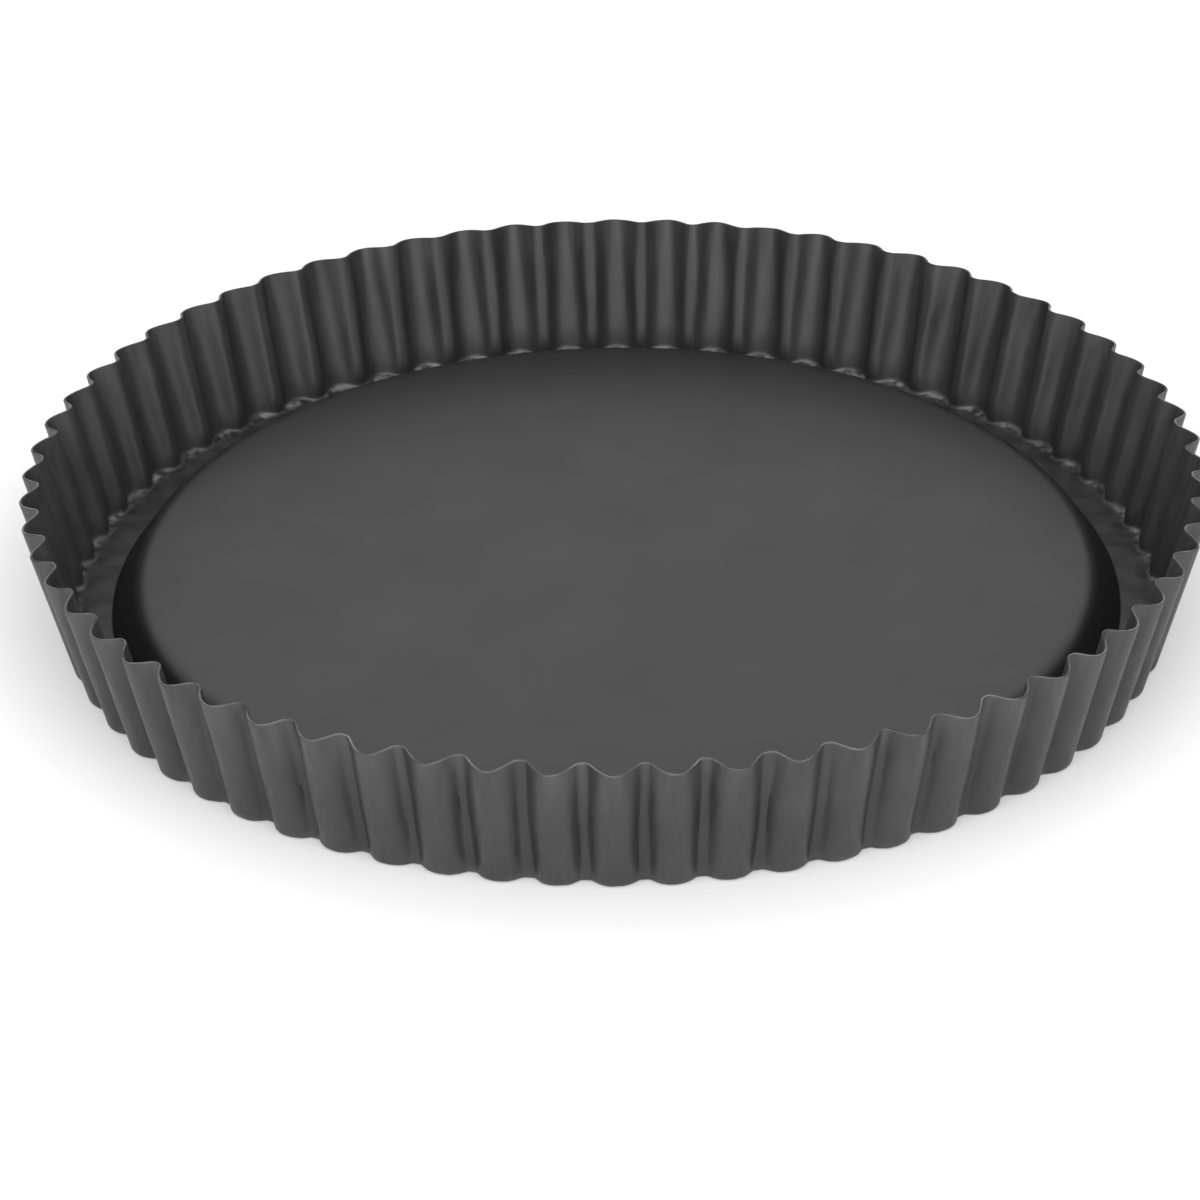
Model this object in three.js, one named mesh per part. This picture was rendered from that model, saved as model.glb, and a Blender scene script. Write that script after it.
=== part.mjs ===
// Flan pan made of two pressings: a fluted ring, and the raised base that lifts out of it.
// Millimetres, +Z up. The origin is on the table, on the pan's axis, and a crest lies on +X.

import * as THREE from "three";

const { clamp, degToRad, euclideanModulo, lerp } = THREE.MathUtils;

// Coated steel sheet, the same for both pressings
const SHEET = 0.6;

// Rim
const RIM_DIAMETER = 280; // outside, across opposite crests
const RIM_HEIGHT = 33.4; // table to the middle of the cut edge, on a crest
const RIM_RISE = 1; // how much higher the edge stands on an inward tip

// Wall
const WALL_FLARE = degToRad(15); // on the crests, from upright
const FLOOR_BEND = 1.2; // radius at the middle of the sheet

// Flutes: flat inward tips, steep flanks and rounded crests, shallower towards the floor
const FLUTES = 64;
const TIP_WIDTH = 2.7;
const FLANK_WIDTH = 1.9;
const DEPTH_AT_RIM = 4.3; // from crest to tip
const DEPTH_AT_RUNOUT = 3.4;
const DEPTH_AT_FLOOR = 2.2;
const RUNOUT_HEIGHT = 7; // where the flutes start to run out into the floor bend
const RIM_ROUNDNESS = 0.75; // 1 makes the flutes a plain wave
const RUNOUT_ROUNDNESS = 0.3;
const FLOOR_ROUNDNESS = 0.6;

// Flat floor of the channel, from the base's foot to where the nearest tip bends up
const LEDGE_WIDTH = 7.3;

// Raised base
const BASE_HEIGHT = 10; // table to its upper face
const BASE_EDGE = 5; // outside radius of its rounded edge
const SKIRT_SLOPE = degToRad(36); // from upright

// Upturned collar inside the skirt, which keeps the base in the middle
const COLLAR_BEND = 1; // radius on the side of the skirt
const COLLAR_HEADROOM = 4; // from its top edge to the underside of the base

// Clearances of the loose base
const FOOT_GAP = 0.3; // foot over the channel floor
const COLLAR_GAP = 0.4; // skirt to collar, square to the sheet

// Facets
const ROUND_FACETS = 96; // plain rounds, once about the axis
const FLOOR_BEND_FACETS = 2;
const COLLAR_BEND_FACETS = 2;
const EDGE_FACETS = 4;

// Finish
const COAT = { color: 0x38383a, roughness: 0.4, metalness: 0 };

const HALF_SHEET = SHEET / 2;
const FOOT_HEIGHT = SHEET + FOOT_GAP;
const FULL_TURN = 2 * Math.PI;
const QUARTER_TURN = Math.PI / 2;

// Corners of a flute, in pitches from the middle of a tip
const FLUTE_PITCH = (Math.PI * RIM_DIAMETER) / FLUTES;
const TIP_END = TIP_WIDTH / 2 / FLUTE_PITCH;
const FLANK_END = TIP_END + FLANK_WIDTH / FLUTE_PITCH;
const CREST_SIDE = (FLANK_END + 0.5) / 2;
const FLUTE_STATIONS = [-0.5, -CREST_SIDE, -FLANK_END, -TIP_END, 0, TIP_END, FLANK_END, CREST_SIDE];

// Levels that shape the wall
const RIM = { height: RIM_HEIGHT, depth: DEPTH_AT_RIM, roundness: RIM_ROUNDNESS };
const RUNOUT = { height: RUNOUT_HEIGHT, depth: DEPTH_AT_RUNOUT, roundness: RUNOUT_ROUNDNESS };
const FLOOR = { height: HALF_SHEET, depth: DEPTH_AT_FLOOR, roundness: FLOOR_ROUNDNESS };

// How far in a flute stands: 0 on a crest and 1 on a tip.
function fluteInset(angle, roundness) {
  const fromTip = Math.abs(euclideanModulo((FLUTES * angle) / FULL_TURN, 1) - 0.5);
  const flank = clamp((FLANK_END - fromTip) / (FLANK_END - TIP_END), 0, 1);
  const plainWave = (1 + Math.cos(FULL_TURN * fromTip)) / 2;
  return lerp(flank, plainWave, roundness);
}

// Middle of the sheet on one level of the wall: x is the radius, y the height.
function wallPoint(angle, { height, depth, roundness }) {
  const crestAtRim = RIM_DIAMETER / 2 - HALF_SHEET * Math.cos(WALL_FLARE);
  const crest = crestAtRim - (RIM_HEIGHT - height) * Math.tan(WALL_FLARE);
  return new THREE.Vector2(crest - depth * fluteInset(angle, roundness), height);
}

// Directions up the wall, above and below the level where the flutes run out.
function wallSlopes(angle) {
  const runout = wallPoint(angle, RUNOUT);
  return {
    upper: wallPoint(angle, RIM).sub(runout).normalize(),
    lower: runout.clone().sub(wallPoint(angle, FLOOR)).normalize(),
  };
}

// Centre of the bend between the wall and the channel floor.
function floorBendCentre(angle) {
  const { lower } = wallSlopes(angle);
  const corner = wallPoint(angle, FLOOR);
  const radius = corner.x + (FLOOR_BEND * lower.x) / lower.y - FLOOR_BEND / lower.y;
  return new THREE.Vector2(radius, corner.y + FLOOR_BEND);
}

// Rows of the wall from the rim down, each with the middle of the sheet and the direction up it.
function rimStation(angle) {
  const { upper } = wallSlopes(angle);
  const rise = RIM_RISE * fluteInset(angle, RIM_ROUNDNESS);
  return { place: wallPoint(angle, RIM).addScaledVector(upper, rise / upper.y), uphill: upper };
}

function runoutStation(angle) {
  const { upper, lower } = wallSlopes(angle);
  return { place: wallPoint(angle, RUNOUT), uphill: upper.add(lower).normalize() };
}

function bendStation(angle, share) {
  const { lower } = wallSlopes(angle);
  const turn = -lerp(Math.atan2(lower.x, lower.y), QUARTER_TURN, share);
  const outward = new THREE.Vector2(Math.cos(turn), Math.sin(turn));
  return {
    place: floorBendCentre(angle).addScaledVector(outward, FLOOR_BEND),
    uphill: new THREE.Vector2(-outward.y, outward.x),
  };
}

const WALL_ROWS = [rimStation, runoutStation];
for (let i = 0; i <= FLOOR_BEND_FACETS; i += 1) {
  WALL_ROWS.push((angle) => bendStation(angle, i / FLOOR_BEND_FACETS));
}

// Point or direction of an upright section, turned round the axis.
function turned(section, angle) {
  return new THREE.Vector3(section.x * Math.cos(angle), section.x * Math.sin(angle), section.y);
}

// Ring of points on one face of the fluted wall: side 1 is the inside, -1 the outside.
function wallRing(station, side) {
  const nudge = 1e-4;
  const points = [];
  for (let flute = 0; flute < FLUTES; flute += 1) {
    for (const fromTip of FLUTE_STATIONS) {
      const angle = (FULL_TURN * (flute + 0.5 + fromTip)) / FLUTES;
      const { place, uphill } = station(angle);
      const before = turned(station(angle - nudge).place, angle - nudge);
      const after = turned(station(angle + nudge).place, angle + nudge);
      const normal = turned(uphill, angle).cross(after.sub(before)).normalize();
      points.push(turned(place, angle).addScaledVector(normal, side * HALF_SHEET));
    }
  }
  return points;
}

// Plain ring of points round the axis.
function plainRing(section) {
  return Array.from({ length: ROUND_FACETS }, (_, i) => turned(section, (FULL_TURN * i) / ROUND_FACETS));
}

// Radius of the skirt's foot, outside and inside.
const TIP_ANGLE = Math.PI / FLUTES;
const FOOT_OUTSIDE = floorBendCentre(TIP_ANGLE).x - LEDGE_WIDTH;
const FOOT_INSIDE = FOOT_OUTSIDE - SHEET / Math.cos(SKIRT_SLOPE);

// Section of the collar on one face, from the channel floor up to its edge: side 1 faces the skirt.
function collarSection(side) {
  const acrossSkirt = new THREE.Vector2(Math.cos(SKIRT_SLOPE), Math.sin(SKIRT_SLOPE));
  const upSkirt = new THREE.Vector2(-acrossSkirt.y, acrossSkirt.x);
  const skirtInside = new THREE.Vector2(FOOT_INSIDE, FOOT_HEIGHT).dot(acrossSkirt);
  const bendHeight = SHEET + COLLAR_BEND;
  const bendReach = skirtInside - COLLAR_GAP + COLLAR_BEND;
  const bendRadius = (bendReach - bendHeight * acrossSkirt.y) / acrossSkirt.x;
  const radius = COLLAR_BEND + HALF_SHEET * (1 - side);
  const points = Array.from({ length: COLLAR_BEND_FACETS + 1 }, (_, i) => {
    const turn = ((QUARTER_TURN - SKIRT_SLOPE) * i) / COLLAR_BEND_FACETS;
    return new THREE.Vector2(bendRadius - radius * Math.sin(turn), bendHeight - radius * Math.cos(turn));
  });
  const bendEnd = points.at(-1);
  const edgeHeight = BASE_HEIGHT - SHEET - COLLAR_HEADROOM;
  const edge = bendEnd.clone().addScaledVector(upSkirt, (edgeHeight - bendEnd.y) / upSkirt.y);
  return [...points, edge];
}

// Closed skin through a loop of rings, each stitched to the next one, whatever their numbers of points.
function skinThrough(rings) {
  const starts = [];
  let total = 0;
  for (const ring of rings) {
    starts.push(total);
    total += ring.length;
  }
  const triangles = [];
  rings.forEach((ring, r) => {
    const next = (r + 1) % rings.length;
    const a = (i) => starts[r] + (i % ring.length);
    const b = (j) => starts[next] + (j % rings[next].length);
    let i = 0;
    let j = 0;
    while (i < ring.length || j < rings[next].length) {
      if ((i + 0.5) / ring.length <= (j + 0.5) / rings[next].length) {
        triangles.push(a(i), a(i + 1), b(j));
        i += 1;
      } else {
        triangles.push(a(i), b(j + 1), b(j));
        j += 1;
      }
    }
  });
  const geometry = new THREE.BufferGeometry().setFromPoints(rings.flat());
  geometry.setIndex(triangles);
  geometry.computeVertexNormals();
  return geometry;
}

function pressing(name, geometry) {
  const mesh = new THREE.Mesh(geometry, new THREE.MeshStandardMaterial(COAT));
  mesh.name = name;
  return mesh;
}

// Fluted wall, channel floor and collar, pressed from one sheet of constant thickness.
function flutedRing() {
  const face = (side) => [
    ...WALL_ROWS.map((station) => wallRing(station, side)),
    ...collarSection(side).map(plainRing),
  ];
  return pressing("fluted_ring", skinThrough([...face(1), ...face(-1).reverse()]));
}

// Flat plateau with a rounded edge and a sloping skirt that stands on the channel floor.
function looseBase() {
  const skirtRun = (BASE_HEIGHT - FOOT_HEIGHT) * Math.tan(SKIRT_SLOPE);
  const edgeRun = BASE_EDGE * Math.tan((QUARTER_TURN - SKIRT_SLOPE) / 2);
  const flatRadius = FOOT_OUTSIDE - skirtRun - edgeRun;
  const edgeCentre = BASE_HEIGHT - BASE_EDGE;
  const section = new THREE.Path();
  section.moveTo(0, BASE_HEIGHT - SHEET);
  section.lineTo(flatRadius, BASE_HEIGHT - SHEET);
  section.absarc(flatRadius, edgeCentre, BASE_EDGE - SHEET, QUARTER_TURN, SKIRT_SLOPE, true);
  section.lineTo(FOOT_INSIDE, FOOT_HEIGHT);
  section.lineTo(FOOT_OUTSIDE, FOOT_HEIGHT);
  section.absarc(flatRadius, edgeCentre, BASE_EDGE, SKIRT_SLOPE, QUARTER_TURN, false);
  section.lineTo(0, BASE_HEIGHT);
  const points = section.getPoints(EDGE_FACETS / 2);
  const geometry = new THREE.LatheGeometry(points, ROUND_FACETS);
  return pressing("loose_base", geometry.rotateX(QUARTER_TURN));
}

const flanPan = new THREE.Group();
flanPan.name = "flan_pan";
flanPan.add(flutedRing(), looseBase());

export default flanPan;
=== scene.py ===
"""Looks of a fluted flan pan with a raised loose base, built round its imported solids. Metres, +Z up."""

import math

import bpy
import numpy as np
from mathutils import Matrix, Vector


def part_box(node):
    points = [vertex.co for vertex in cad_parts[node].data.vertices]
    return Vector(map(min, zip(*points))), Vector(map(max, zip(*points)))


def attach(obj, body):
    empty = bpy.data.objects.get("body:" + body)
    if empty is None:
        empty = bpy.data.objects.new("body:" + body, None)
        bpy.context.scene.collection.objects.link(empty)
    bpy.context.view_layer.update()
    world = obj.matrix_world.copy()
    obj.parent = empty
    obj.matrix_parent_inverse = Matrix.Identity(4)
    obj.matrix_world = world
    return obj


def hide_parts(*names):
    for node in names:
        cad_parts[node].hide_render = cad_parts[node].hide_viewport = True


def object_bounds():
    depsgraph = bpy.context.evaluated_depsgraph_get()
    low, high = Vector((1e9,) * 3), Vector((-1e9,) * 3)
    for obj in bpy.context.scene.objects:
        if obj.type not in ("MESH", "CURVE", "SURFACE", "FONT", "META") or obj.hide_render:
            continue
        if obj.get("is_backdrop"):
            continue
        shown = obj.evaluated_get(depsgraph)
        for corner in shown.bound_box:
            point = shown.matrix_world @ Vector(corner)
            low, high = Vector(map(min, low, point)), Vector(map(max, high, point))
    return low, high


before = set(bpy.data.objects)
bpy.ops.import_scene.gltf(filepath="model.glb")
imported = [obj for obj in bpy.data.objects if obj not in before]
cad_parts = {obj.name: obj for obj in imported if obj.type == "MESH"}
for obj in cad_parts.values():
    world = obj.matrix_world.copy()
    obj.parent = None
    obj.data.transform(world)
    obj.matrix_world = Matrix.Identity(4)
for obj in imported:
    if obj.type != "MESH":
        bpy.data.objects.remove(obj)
cad_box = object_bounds()

MM = 0.001
FULL_TURN = 2 * math.pi
QUARTER_TURN = math.pi / 2

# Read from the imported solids
RIM_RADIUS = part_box("fluted_ring")[1].x
FOOT_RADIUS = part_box("loose_base")[1].x
FOOT_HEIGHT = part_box("loose_base")[0].z
BASE_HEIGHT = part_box("loose_base")[1].z

# Pressed sheet, as in the solids
SHEET = 0.6 * MM
HALF_SHEET = SHEET / 2
FLUTES = 64
RIM_HEIGHT = 33.4 * MM  # on a crest, at the middle of the sheet
RIM_RISE = 1 * MM  # how much higher the edge stands on an inward tip
WALL_FLARE = math.radians(15)
FLOOR_BEND = 1.2 * MM
TIP_WIDTH = 2.7 * MM
FLANK_WIDTH = 1.9 * MM
DEPTH_AT_RIM = 4.3 * MM
DEPTH_AT_FLOOR = 2.2 * MM
RIM_ROUNDNESS = 0.75  # 1 makes the flutes a plain wave
FLOOR_ROUNDNESS = 0.6
BASE_EDGE = 5 * MM
SKIRT_SLOPE = math.radians(36)  # from upright
COLLAR_BEND = 1 * MM
COLLAR_GAP = 0.4 * MM
COLLAR_HEADROOM = 4 * MM

# Finer form of the pressing, which the solids leave plainer
WALL_ROUNDNESS = 0.25
RIM_EASE = 4  # the higher, the closer to the rim its roundness stays
FLOOR_EASE = 8  # the same at the floor
TIP_SOFTNESS = 0.15 * MM
CREST_SOFTNESS = 0.7 * MM
RUNOUT_HEIGHT = 3.5 * MM  # where the flutes start to run out into the floor bend
RUNOUT_SOFTNESS = 0.5 * MM
DEPTH_AT_RUNOUT = 3.3 * MM
CREASE = 0.35 * MM  # height of the creases that the tips leave on the channel floor
CREASE_SCALE = 27 / 4  # brings the highest point of t (1 - t)^2 to 1
TOE_BEND = 2.4 * MM  # bend of the inner face on the crests, where the sheet gathers
TOE_REACH = 2 * MM  # size of the burnished zone on that bend, along the floor, which also carries a painted highlight
TOE_RISE = 0.75 * MM  # the same up the wall
TOE_FADE = 1.5  # where the zone ends, as a multiple of that size
EDGE_BEVEL = 0.14 * MM

# Unevenness of the pressing: size, limit of the waves round the pan, and phase in radians up the wall
FLUTE_WANDER = (math.radians(0.05), 130, 8)
DEPTH_WANDER = (0.12 * MM, 60, 3)
RIM_WANDER = (0.07 * MM, 100, 0)
PUCKER = 0.1 * MM  # on the floor bend of the crests
PUCKERS = (PUCKER, 500, 80)
PUCKER_FADE = 3  # the higher, the sooner the puckers end on the channel floor
FEWEST_WAVES = 3
WAVE_COUNT = 60
SEED = 11

# Mesh
COLUMNS = FLUTES * 24
WALL_ROWS = 30
BEND_ROWS = 10
LEDGE_ROWS = 10
COLLAR_BEND_ROWS = 5
COLLAR_ROWS = 3
BASE_COLUMNS = 320
EDGE_ROWS = 10
FLAT_SHARES = np.linspace(0.1, 0.98, 10)  # radii of the plateau's rings, as shares of its own
SHARP_ANGLE = math.radians(40)
BURNISH_AND_HIGHLIGHT = "burnish_and_highlight"  # attribute with the share of the burnished toe zone on the upper face, where a highlight is also painted

# Noises in the materials: scale and detail
CLOUDS = (55, 5)
GRAIN = (2600, 3)
DRAW_MARKS = (180, 4)
RIM_SHEEN_PATCHES = (45, 4)
FLOOR_LIGHT_PATCHES = (200, 5)
CRINKLES = (420, 1)
RUBBED_EDGE = (150, 4)
NOISE_SPAN = (0.3, 0.7)  # where most values of a noise lie
SMEAR_SPAN = (0.4, 0.7)  # noise from which a painted patch starts, and at which it is full

# Coat: two greys or roughnesses follow a noise from its low values to its high ones
COAT_IOR = 1.6
DRAWN_GREY = (0.018, 0.029)
# the base's coat, the same as the ring's, made darker: painted shade that darkens its skirt, and the
# plateau with it
FLAT_SHADED_GREY = (0.012, 0.015)
EDGE_GREY = (0.01, 0.2)
# paler colour of the painted sheen near the rim and the painted light on the channel floor
PAINTED_LIGHT_GREY = 0.09
# paler colour on the toes of the crests: a painted highlight
TOE_HIGHLIGHT_GREY = 0.24
DRAWN_ROUGHNESS = (0.39, 0.59)
FLAT_ROUGHNESS = (0.36, 0.44)
EDGE_ROUGHNESS = (0.5, 0.3)
TOE_ROUGHNESS = 0.26
GRAIN_DEPTH = 0.05 * MM
GRAIN_STRENGTH = 0.12
MARK_DEPTH = 0.1 * MM
MARK_STRENGTH = 0.6
MARK_HEIGHTS = (2 * MM, 5 * MM)  # from where the marks set in to where they are full
CRINKLE_DEPTH = 0.6 * MM
# paler patches near the rim: painted sheen on the upper wall
RIM_SHEEN_PAINT = 0.4
RIM_SHEEN_HEIGHTS = (16 * MM, RIM_HEIGHT)  # from none of the painted sheen to all of it
# paler mottled patches on the channel floor: painted light that lifts the ledge
FLOOR_LIGHT_PAINT = 0.35
FLOOR_LIGHT_HEIGHTS = (1 * MM, 2.5 * MM)  # from all of the painted light to none
# Painted shade: the coat's sheen is lowered in hollows by ambient occlusion
FLUTE_HOLLOW = 4 * MM
PAN_HOLLOW = 30 * MM
HOLLOW_SHADED_SHEEN = 0.1
OPEN_SHEEN = 0.5
HOLLOW_SPAN = (0.35, 0.85)  # openness of a full hollow and of a plain face

# Stage
FLOOR_REACH = 3
SHADOW_REACH = 40 * MM
PAPER_SHADOW_GREY = (0.52, 0.93)  # painted shadow under the pan, and plain paper away from it
PAPER_GLOW = 1.7  # strength of the emission
GLOW_SHARE = 0.32  # of the glow in what the camera and reflections see of the paper
SURROUND = (0.1, 0.94)  # strength in front of the pan and behind it
SURROUND_SPAN = (0, 0.9)  # of the direction's Y, over which it changes
LAMP_PLACE = Vector((0, -1.25, 1))
LAMP_WIDTH = 3
LAMP_HEIGHT = 2
LAMP_ENERGY = 55

# Camera, placed by shares of the rim's radius from the centre of the rim
CAMERA_FROM_RIM = Vector((-0.02754, -7.5683, 3.9851))
CAMERA_PITCH = math.radians(29.232)
CAMERA_ROLL = math.radians(-0.8254)
CAMERA_TURN = math.radians(0.642)
CAMERA_LENS = 152.12
CAMERA_SENSOR = 36


def smooth_noise(rng, size, finest, rise):
    """Random variation round the pan and up its wall, of a given root mean square."""
    turns = rng.integers(FEWEST_WAVES, finest, WAVE_COUNT)
    rises = rng.uniform(-rise, rise, WAVE_COUNT)
    starts = rng.uniform(0, FULL_TURN, WAVE_COUNT)

    def noise(angles, heights):
        phases = np.multiply.outer(turns, angles) + np.multiply.outer(rises, heights / RIM_HEIGHT)
        return size * math.sqrt(2 / WAVE_COUNT) * np.cos(phases + starts[:, None]).sum(0)

    return noise


def soft_ramp(values, softness):
    """Nought below zero and the value itself above, with a soft corner between."""
    return softness * np.logaddexp(0, values / softness)


def flute_inset(angles, heights):
    """How far in the flutes stand: 0 on a crest, 1 on a tip, with flanks that ease off at both ends."""
    pitch = FULL_TURN * RIM_RADIUS / FLUTES
    from_tip = pitch * np.abs((FLUTES * angles / FULL_TURN) % 1 - 0.5)
    past_tip = from_tip - TIP_WIDTH / 2
    past_flank = from_tip - (TIP_WIDTH / 2 + FLANK_WIDTH)
    drop = soft_ramp(past_tip, TIP_SOFTNESS) - soft_ramp(past_flank, CREST_SOFTNESS)
    steep = 1 - drop / FLANK_WIDTH
    plain = (1 + np.cos(FULL_TURN * from_tip / pitch)) / 2
    share = np.clip(heights, 0, RIM_HEIGHT) / RIM_HEIGHT
    near_rim = (RIM_ROUNDNESS - WALL_ROUNDNESS) * share ** RIM_EASE
    near_floor = (FLOOR_ROUNDNESS - WALL_ROUNDNESS) * (1 - share) ** FLOOR_EASE
    return steep + (WALL_ROUNDNESS + near_rim + near_floor) * (plain - steep)


def flute_depth(heights):
    above = (DEPTH_AT_RIM - DEPTH_AT_RUNOUT) / (RIM_HEIGHT - RUNOUT_HEIGHT)
    below = (DEPTH_AT_RUNOUT - DEPTH_AT_FLOOR) / (RUNOUT_HEIGHT - HALF_SHEET)
    run_out = (below - above) * soft_ramp(RUNOUT_HEIGHT - heights, RUNOUT_SOFTNESS)
    return DEPTH_AT_RUNOUT + above * (heights - RUNOUT_HEIGHT) - run_out


def collar_middle():
    """Middle of the collar's sheet, from the start of its bend to its edge, as radius and height."""
    across = np.array((math.cos(SKIRT_SLOPE), math.sin(SKIRT_SLOPE)))
    foot_inside = FOOT_RADIUS - SHEET / across[0]
    bend_height = SHEET + COLLAR_BEND
    reach = foot_inside * across[0] + FOOT_HEIGHT * across[1] - COLLAR_GAP + COLLAR_BEND
    centre = np.array(((reach - bend_height * across[1]) / across[0], bend_height))
    turns = np.linspace(0, QUARTER_TURN - SKIRT_SLOPE, COLLAR_BEND_ROWS)
    bend = centre - (COLLAR_BEND + HALF_SHEET) * np.stack((np.sin(turns), np.cos(turns)), 1)
    rise = BASE_HEIGHT - SHEET - COLLAR_HEADROOM - bend[-1, 1]
    edge = bend[-1] + rise * np.array((-math.tan(SKIRT_SLOPE), 1))
    steps = np.linspace(0, 1, COLLAR_ROWS + 1)[1:, None]
    return np.concatenate((bend, bend[-1] + steps * (edge - bend[-1])))


class RingMiddle:
    """Middle of the ring's sheet, in rows from rim to collar, with a given bend below its crests."""

    def __init__(self, crest_bend):
        rng = np.random.default_rng(SEED)
        self.angles = np.arange(COLUMNS) * FULL_TURN / COLUMNS
        self.turn_noise = smooth_noise(rng, *FLUTE_WANDER)
        self.depth_noise = smooth_noise(rng, *DEPTH_WANDER)
        self.rim_noise = smooth_noise(rng, *RIM_WANDER)
        self.puckers = smooth_noise(rng, *PUCKERS)
        floor = np.full(COLUMNS, HALF_SHEET)
        self.inset = self.inset_at(floor)
        self.corner = self.wall_radius(floor)
        lean = (self.wall_radius(floor + MM) - self.corner) / MM
        self.slope = np.arctan(lean)
        self.bend = crest_bend + (FLOOR_BEND - crest_bend) * self.inset
        self.bend_radius = self.corner + self.bend * lean - self.bend / np.cos(self.slope)
        self.bend_height = HALF_SHEET + self.bend
        self.section = self.all_rows()

    def inset_at(self, heights):
        return flute_inset(self.angles + self.turn_noise(self.angles, heights), heights)

    def wall_radius(self, heights):
        crest_at_rim = RIM_RADIUS - HALF_SHEET * math.cos(WALL_FLARE)
        crest = crest_at_rim - (RIM_HEIGHT - heights) * math.tan(WALL_FLARE)
        depth = flute_depth(heights) + self.depth_noise(self.angles, heights)
        return crest - depth * self.inset_at(heights)

    def puckered(self, radius, heights, share):
        """Heights with a share of the uneven lift that the crests have at the floor."""
        lift = soft_ramp(self.puckers(self.angles, radius), PUCKER / 2)
        return heights + share * (1 - self.inset) * lift

    def wall_rows(self):
        rim = np.full(COLUMNS, RIM_HEIGHT)
        top = rim + RIM_RISE * self.inset_at(rim) + self.rim_noise(self.angles, rim)
        tangent = self.bend_height - self.bend * np.sin(self.slope)
        for t in np.linspace(0, 1, WALL_ROWS):
            heights = top + t * (tangent - top)
            yield self.wall_radius(heights), heights

    def bend_rows(self):
        for t in np.linspace(0, 1, BEND_ROWS)[1:]:
            turn = self.slope + t * (QUARTER_TURN - self.slope)
            radius = self.bend_radius + self.bend * np.cos(turn)
            yield radius, self.puckered(radius, self.bend_height - self.bend * np.sin(turn), t)

    def ledge_rows(self, end_radius):
        for t in np.linspace(0, 1, LEDGE_ROWS)[1:-1]:
            radius = self.bend_radius + t * (end_radius - self.bend_radius)
            creased = HALF_SHEET + CREASE * self.inset * CREASE_SCALE * t * (1 - t) ** 2
            yield radius, self.puckered(radius, creased, (1 - t) ** PUCKER_FADE)

    def all_rows(self):
        """Radius and height of each row in each column."""
        collar = collar_middle()
        pressed = [*self.wall_rows(), *self.bend_rows(), *self.ledge_rows(collar[0, 0])]
        return np.concatenate((pressed, np.repeat(collar[:, :, None], COLUMNS, axis=2)))

    def points(self):
        radius = self.section[:, 0]
        height = self.section[:, 1]
        return np.stack((radius * np.cos(self.angles), radius * np.sin(self.angles), height), -1)

    def toes(self):
        """Share of burnishing and painted highlight at each point, which is highest on the floor bend of
        the crests.
        """
        along_floor = (self.section[:, 0] - self.corner) / TOE_REACH
        up_wall = (self.section[:, 1] - HALF_SHEET) / TOE_RISE
        return np.clip(TOE_FADE - np.hypot(along_floor, up_wall), 0, 1) * (1 - self.inset)


def unit(vectors):
    return vectors / np.linalg.norm(vectors, axis=-1, keepdims=True)


def sheet_face(middle, side):
    """Upper face of the sheet round its middle, for side 1, or its lower face, for side -1."""
    around = np.roll(middle, -1, axis=1) - np.roll(middle, 1, axis=1)
    along = np.gradient(middle, axis=0)
    return middle + side * HALF_SHEET * unit(np.cross(around, along))


def sheet_rings(middle, upper, lower):
    """Closed loop of rings round a sheet: upper face, far cut edge, lower face and near cut edge."""

    def edge(row, next_row, first, second):
        outward = EDGE_BEVEL * unit(middle[row] - middle[next_row])
        inward = EDGE_BEVEL * unit(second - first)
        return np.stack((first + inward + outward, second - inward + outward))

    far = edge(-1, -2, upper[-1], lower[-1])
    near = edge(0, 1, lower[0], upper[0])
    return np.concatenate((upper, far, lower[::-1], near))


def base_section():
    """Section of the base, from the middle of its upper face round its foot to that of its underside."""
    run = (BASE_HEIGHT - FOOT_HEIGHT) * math.tan(SKIRT_SLOPE)
    flat = FOOT_RADIUS - run - BASE_EDGE * math.tan((QUARTER_TURN - SKIRT_SLOPE) / 2)
    centre = np.array((flat, BASE_HEIGHT - BASE_EDGE))
    turns = np.linspace(QUARTER_TURN, SKIRT_SLOPE, EDGE_ROWS)[:, None]
    arc = np.concatenate((np.cos(turns), np.sin(turns)), 1)
    upper_edge = centre + BASE_EDGE * arc
    lower_edge = centre + (BASE_EDGE - SHEET) * arc
    outside = np.array((FOOT_RADIUS, FOOT_HEIGHT))
    inside = outside - (SHEET / math.cos(SKIRT_SLOPE), 0)
    across_foot = np.array((EDGE_BEVEL, 0))
    up_skirt = EDGE_BEVEL * np.array((-math.tan(SKIRT_SLOPE), 1))
    foot = [outside + up_skirt, outside - across_foot, inside + across_foot, inside + up_skirt]
    upper_flat = FLAT_SHARES[:, None] * (flat, 0) + (0, BASE_HEIGHT)
    lower_flat = upper_flat - (0, SHEET)
    return np.concatenate((upper_flat, upper_edge, foot, lower_edge[::-1], lower_flat[::-1]))


def grid_faces(rows, columns, closed):
    """Quads between neighbouring rings, and from the last ring to the first one if the loop is closed."""
    index = np.arange(rows * columns).reshape(rows, columns)
    here = index if closed else index[:-1]
    below = np.roll(index, -1, axis=0) if closed else index[1:]
    quads = (here, np.roll(here, -1, axis=1), np.roll(below, -1, axis=1), below)
    return np.stack(quads, -1).reshape(-1, 4).tolist()


def add_piece(name, points, faces, materials):
    mesh = bpy.data.meshes.new(name)
    mesh.from_pydata(points.tolist(), [], faces)
    for material in materials:
        mesh.materials.append(material)
    mesh.shade_smooth()
    mesh.set_sharp_from_angle(angle=SHARP_ANGLE)
    mesh.validate()
    piece = bpy.data.objects.new(name, mesh)
    bpy.context.scene.collection.objects.link(piece)
    return piece


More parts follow.
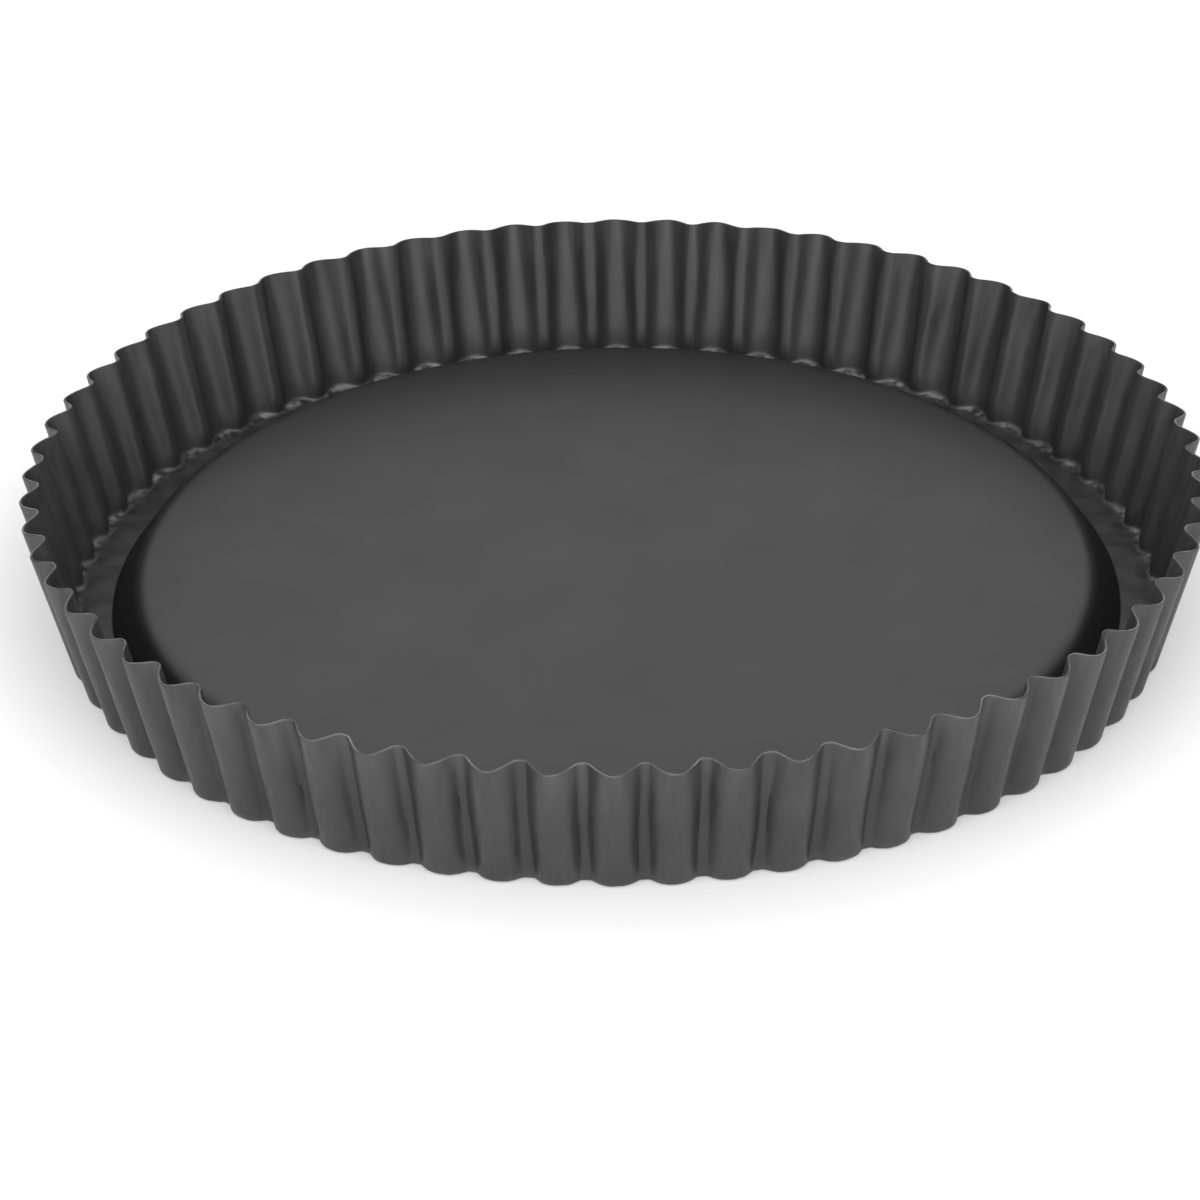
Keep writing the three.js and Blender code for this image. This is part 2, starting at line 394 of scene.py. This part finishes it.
def add_ring(coat, cut_edge):
    middle = RingMiddle(FLOOR_BEND).points()
    gathered = RingMiddle(TOE_BEND)
    rings = sheet_rings(middle, sheet_face(gathered.points(), 1), sheet_face(middle, -1))
    rows = len(rings)
    piece = add_piece("pan_ring", rings.reshape(-1, 3), grid_faces(rows, COLUMNS, True), [coat, cut_edge])
    rim_faces = np.zeros((rows, COLUMNS), np.int32)
    rim_faces[-2] = 1  # the last two rings bound the cut edge of the rim
    piece.data.polygons.foreach_set("material_index", rim_faces.ravel())
    # burnished toes of the crests, which also carry a painted highlight
    toes = gathered.toes()
    burnish_and_highlight = np.zeros((rows, COLUMNS), np.float32)
    burnish_and_highlight[:len(toes)] = toes
    piece.data.attributes.new(BURNISH_AND_HIGHLIGHT, "FLOAT", "POINT").data.foreach_set("value", burnish_and_highlight.ravel())
    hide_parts("fluted_ring")
    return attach(piece, "ring")


def add_base(coat):
    section = base_section()
    angles = np.arange(BASE_COLUMNS) * FULL_TURN / BASE_COLUMNS
    radius = section[:, :1]
    height = np.repeat(section[:, 1:], BASE_COLUMNS, axis=1)
    rings = np.stack((radius * np.cos(angles), radius * np.sin(angles), height), -1)
    poles = np.array(((0, 0, BASE_HEIGHT), (0, 0, BASE_HEIGHT - SHEET)))
    rows = len(section)
    top = rows * BASE_COLUMNS
    last_ring = top - BASE_COLUMNS
    faces = [quad[::-1] for quad in grid_faces(rows, BASE_COLUMNS, False)]
    for i in range(BASE_COLUMNS):
        j = (i + 1) % BASE_COLUMNS
        faces.append([top, i, j])
        faces.append([top + 1, last_ring + j, last_ring + i])
    piece = add_piece("pan_base", np.concatenate((rings.reshape(-1, 3), poles)), faces, [coat])
    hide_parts("loose_base")
    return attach(piece, "base")


def new_material(name):
    material = bpy.data.materials.new(name)
    material.use_nodes = True
    return material, material.node_tree, material.node_tree.nodes["Principled BSDF"]


def add_noise(tree, vector, kind):
    """Noise of a kind, which is a scale and a detail."""
    noise = tree.nodes.new("ShaderNodeTexNoise")
    noise.inputs["Scale"].default_value = kind[0]
    noise.inputs["Detail"].default_value = kind[1]
    tree.links.new(vector, noise.inputs["Vector"])
    return noise.outputs["Fac"]


def add_range(tree, value, ends, span=NOISE_SPAN):
    """Stretches a span of values, by default the middle of a noise, so that it runs between two ends."""
    spread = tree.nodes.new("ShaderNodeMapRange")
    spread.inputs["From Min"].default_value = span[0]
    spread.inputs["From Max"].default_value = span[1]
    spread.inputs["To Min"].default_value = ends[0]
    spread.inputs["To Max"].default_value = ends[1]
    tree.links.new(value, spread.inputs["Value"])
    return spread.outputs["Result"]


def add_math(tree, operation, first, second):
    """Result of an operation on two values."""
    node = tree.nodes.new("ShaderNodeMath")
    node.operation = operation
    tree.links.new(first, node.inputs[0])
    tree.links.new(second, node.inputs[1])
    return node.outputs[0]


def add_ramp(tree, noise, greys, socket):
    """Grey that follows a noise from dark to pale."""
    ramp = tree.nodes.new("ShaderNodeValToRGB")
    for element, place, grey in zip(ramp.color_ramp.elements, NOISE_SPAN, greys):
        element.position = place
        element.color = (grey, grey, grey, 1)
    tree.links.new(noise, ramp.inputs["Fac"])
    tree.links.new(ramp.outputs["Color"], socket)


def add_bump(tree, height, distance):
    """Bump of a given depth, whose strength is left to the caller."""
    bump = tree.nodes.new("ShaderNodeBump")
    bump.inputs["Distance"].default_value = distance
    tree.links.new(height, bump.inputs["Height"])
    return bump


def object_coordinates(tree):
    return tree.nodes.new("ShaderNodeTexCoord").outputs["Object"]


def draw_coordinates(tree, coordinates):
    """Turn and height as coordinates for the marks that the press leaves up the wall, and the height."""
    split = tree.nodes.new("ShaderNodeSeparateXYZ")
    tree.links.new(coordinates, split.inputs[0])
    join = tree.nodes.new("ShaderNodeCombineXYZ")
    turn = add_math(tree, "ARCTAN2", split.outputs["Y"], split.outputs["X"])
    tree.links.new(turn, join.inputs["X"])
    tree.links.new(split.outputs["Z"], join.inputs["Z"])
    return join.outputs[0], split.outputs["Z"]


def add_painted_light(tree, shader, noise, where, pale):
    """Paler patches painted into the coat's colour by a noise and a share, which stand in for sheen,
    light and highlights.
    """
    share = add_math(tree, "MULTIPLY", add_range(tree, noise, (0, 1), SMEAR_SPAN), where)
    mix = tree.nodes.new("ShaderNodeMix")
    mix.data_type = "RGBA"
    mix.inputs["B"].default_value = (pale, pale, pale, 1)
    tree.links.new(share, mix.inputs["Factor"])
    tree.links.new(shader.inputs["Base Color"].links[0].from_socket, mix.inputs["A"])
    tree.links.new(mix.outputs["Result"], shader.inputs["Base Color"])


def shade_hollows_by_ao(tree, shader, reach, own_form):
    """Painted shade: lowers the coat's sheen by ambient occlusion in hollows as deep as the reach, of its
    own form alone or of any.
    """
    hollow = tree.nodes.new("ShaderNodeAmbientOcclusion")
    hollow.inputs["Distance"].default_value = reach
    hollow.only_local = own_form
    sheen = add_range(tree, hollow.outputs["AO"], (HOLLOW_SHADED_SHEEN, OPEN_SHEEN), HOLLOW_SPAN)
    tree.links.new(sheen, shader.inputs["Specular IOR Level"])


def add_toes(tree, shader, coordinates, roughness, normal):
    """Roughness and normal with the toes of the crests burnished and crinkled by the press, and a paler
    highlight painted into their colour.
    """
    toes = tree.nodes.new("ShaderNodeAttribute")
    toes.attribute_name = BURNISH_AND_HIGHLIGHT
    crinkles = add_noise(tree, coordinates, CRINKLES)
    # painted highlight: the toes' colour made paler in crinkled patches
    add_painted_light(tree, shader, crinkles, toes.outputs["Fac"], TOE_HIGHLIGHT_GREY)
    smooth = tree.nodes.new("ShaderNodeMix")
    smooth.inputs["B"].default_value = TOE_ROUGHNESS
    tree.links.new(toes.outputs["Fac"], smooth.inputs["Factor"])
    tree.links.new(roughness, smooth.inputs["A"])
    bump = add_bump(tree, crinkles, CRINKLE_DEPTH)
    tree.links.new(toes.outputs["Fac"], bump.inputs["Strength"])
    tree.links.new(normal, bump.inputs["Normal"])
    return smooth.outputs["Result"], bump.outputs["Normal"]


def add_press_marks(tree, shader, coordinates, normal):
    """Roughness and normal of the drawn wall, with streaks up it, and sheen near the rim and light on the
    floor painted as paler patches.
    """
    along_draw, height = draw_coordinates(tree, coordinates)
    marks = add_noise(tree, along_draw, DRAW_MARKS)
    bump = add_bump(tree, marks, MARK_DEPTH)
    on_wall = add_range(tree, height, (0, MARK_STRENGTH), MARK_HEIGHTS)
    tree.links.new(on_wall, bump.inputs["Strength"])
    tree.links.new(normal, bump.inputs["Normal"])
    # painted sheen: paler patches near the rim
    near_rim = add_range(tree, height, (0, RIM_SHEEN_PAINT), RIM_SHEEN_HEIGHTS)
    add_painted_light(tree, shader, add_noise(tree, along_draw, RIM_SHEEN_PATCHES), near_rim, PAINTED_LIGHT_GREY)
    # painted light: paler mottled patches on the channel floor
    near_floor = add_range(tree, height, (FLOOR_LIGHT_PAINT, 0), FLOOR_LIGHT_HEIGHTS)
    add_painted_light(tree, shader, add_noise(tree, coordinates, FLOOR_LIGHT_PATCHES), near_floor, PAINTED_LIGHT_GREY)
    shade_hollows_by_ao(tree, shader, FLUTE_HOLLOW, True)
    streaks = add_range(tree, marks, DRAWN_ROUGHNESS)
    return add_toes(tree, shader, coordinates, streaks, bump.outputs["Normal"])


def coat_material(name, greys, drawn):
    """Satin charcoal non-stick coat, with the marks of the press where the sheet is drawn."""
    material, tree, shader = new_material(name)
    coordinates = object_coordinates(tree)
    clouds = add_noise(tree, coordinates, CLOUDS)
    add_ramp(tree, clouds, greys, shader.inputs["Base Color"])
    shader.inputs["IOR"].default_value = COAT_IOR
    grain = add_bump(tree, add_noise(tree, coordinates, GRAIN), GRAIN_DEPTH)
    grain.inputs["Strength"].default_value = GRAIN_STRENGTH
    normal = grain.outputs["Normal"]
    if drawn:
        roughness, normal = add_press_marks(tree, shader, coordinates, normal)
    else:
        # painted shade: sheen lowered in the pan's hollows
        shade_hollows_by_ao(tree, shader, PAN_HOLLOW, False)
        roughness = add_range(tree, clouds, FLAT_ROUGHNESS)
    tree.links.new(roughness, shader.inputs["Roughness"])
    tree.links.new(normal, shader.inputs["Normal"])
    return material


def edge_material():
    """Trimmed rim, where the coat is thin."""
    material, tree, shader = new_material("cut_edge")
    rubbed = add_noise(tree, object_coordinates(tree), RUBBED_EDGE)
    add_ramp(tree, rubbed, EDGE_GREY, shader.inputs["Base Color"])
    tree.links.new(add_range(tree, rubbed, EDGE_ROUGHNESS), shader.inputs["Roughness"])
    return material


def add_seen(tree):
    """One for rays of the camera, of reflections and through clear things, and nought for the rest."""
    path = tree.nodes.new("ShaderNodeLightPath")
    seen = path.outputs["Is Camera Ray"]
    for kind in ("Is Glossy Ray", "Is Transmission Ray"):
        seen = add_math(tree, "MAXIMUM", seen, path.outputs[kind])
    return seen


def floor_material():
    """White paper with a shadow near the pan painted in by ambient occlusion, which the camera and
    reflections see paler than it lights the pan.
    """
    material, tree, shader = new_material("white_floor")
    # painted shadow: ambient occlusion darkens the paper's colour near the pan
    shadow_ao = tree.nodes.new("ShaderNodeAmbientOcclusion")
    shadow_ao.inputs["Distance"].default_value = SHADOW_REACH
    paper = add_range(tree, shadow_ao.outputs["AO"], PAPER_SHADOW_GREY, (0, 1))
    tree.links.new(paper, shader.inputs["Base Color"])
    shader.inputs["Roughness"].default_value = 1
    shader.inputs["Specular IOR Level"].default_value = 0
    white = tree.nodes.new("ShaderNodeEmission")
    white.inputs["Strength"].default_value = PAPER_GLOW
    tree.links.new(paper, white.inputs["Color"])
    mix = tree.nodes.new("ShaderNodeMixShader")
    tree.links.new(add_range(tree, add_seen(tree), (0, GLOW_SHARE), (0, 1)), mix.inputs["Fac"])
    tree.links.new(shader.outputs[0], mix.inputs[1])
    tree.links.new(white.outputs[0], mix.inputs[2])
    tree.links.new(mix.outputs[0], tree.nodes["Material Output"].inputs["Surface"])
    return material


def add_floor():
    mesh = bpy.data.meshes.new("floor")
    sides = ((-1, -1), (1, -1), (1, 1), (-1, 1))
    corners = [(x * FLOOR_REACH, y * FLOOR_REACH, 0) for x, y in sides]
    mesh.from_pydata(corners, [], [(0, 1, 2, 3)])
    mesh.materials.append(floor_material())
    floor = bpy.data.objects.new("floor", mesh)
    bpy.context.scene.collection.objects.link(floor)
    floor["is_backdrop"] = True


def add_world():
    """Dim surround, paler behind the pan."""
    world = bpy.data.worlds.new("studio")
    bpy.context.scene.world = world
    world.use_nodes = True
    tree = world.node_tree
    background = tree.nodes["Background"]
    background.inputs["Color"].default_value = (1, 1, 1, 1)
    direction = tree.nodes.new("ShaderNodeTexCoord").outputs["Generated"]
    split = tree.nodes.new("ShaderNodeSeparateXYZ")
    tree.links.new(direction, split.inputs[0])
    fade = add_range(tree, split.outputs["Y"], SURROUND, SURROUND_SPAN)
    tree.links.new(fade, background.inputs["Strength"])


def add_lamp():
    """Softbox that faces the pan."""
    data = bpy.data.lights.new("front_light", "AREA")
    data.shape = "RECTANGLE"
    data.size = LAMP_WIDTH
    data.size_y = LAMP_HEIGHT
    data.energy = LAMP_ENERGY
    lamp = bpy.data.objects.new("front_light", data)
    lamp.location = LAMP_PLACE
    lamp.rotation_euler = (-LAMP_PLACE).to_track_quat("-Z", "Y").to_euler()
    bpy.context.scene.collection.objects.link(lamp)


def add_camera():
    data = bpy.data.cameras.new("camera")
    data.sensor_width = CAMERA_SENSOR
    data.lens = CAMERA_LENS
    camera = bpy.data.objects.new("camera", data)
    place = Matrix.Translation(CAMERA_FROM_RIM * RIM_RADIUS + Vector((0, 0, RIM_HEIGHT)))
    tilt = Matrix.Rotation(QUARTER_TURN - CAMERA_PITCH, 4, "X") @ Matrix.Rotation(CAMERA_ROLL, 4, "Z")
    camera.matrix_world = Matrix.Rotation(CAMERA_TURN, 4, "Z") @ place @ tilt
    bpy.context.scene.collection.objects.link(camera)
    bpy.context.scene.camera = camera


bpy.context.scene.view_settings.view_transform = "Standard"
add_camera()
add_world()
add_lamp()
add_floor()
add_ring(coat_material("drawn_coat", DRAWN_GREY, True), edge_material())
# the base gets the coat in a darker copy, as painted shade
add_base(coat_material("flat_shaded_coat", FLAT_SHADED_GREY, False))

boxes = {"cad": cad_box, "visual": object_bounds()}
{key: [list(corner) for corner in box] for key, box in boxes.items()}
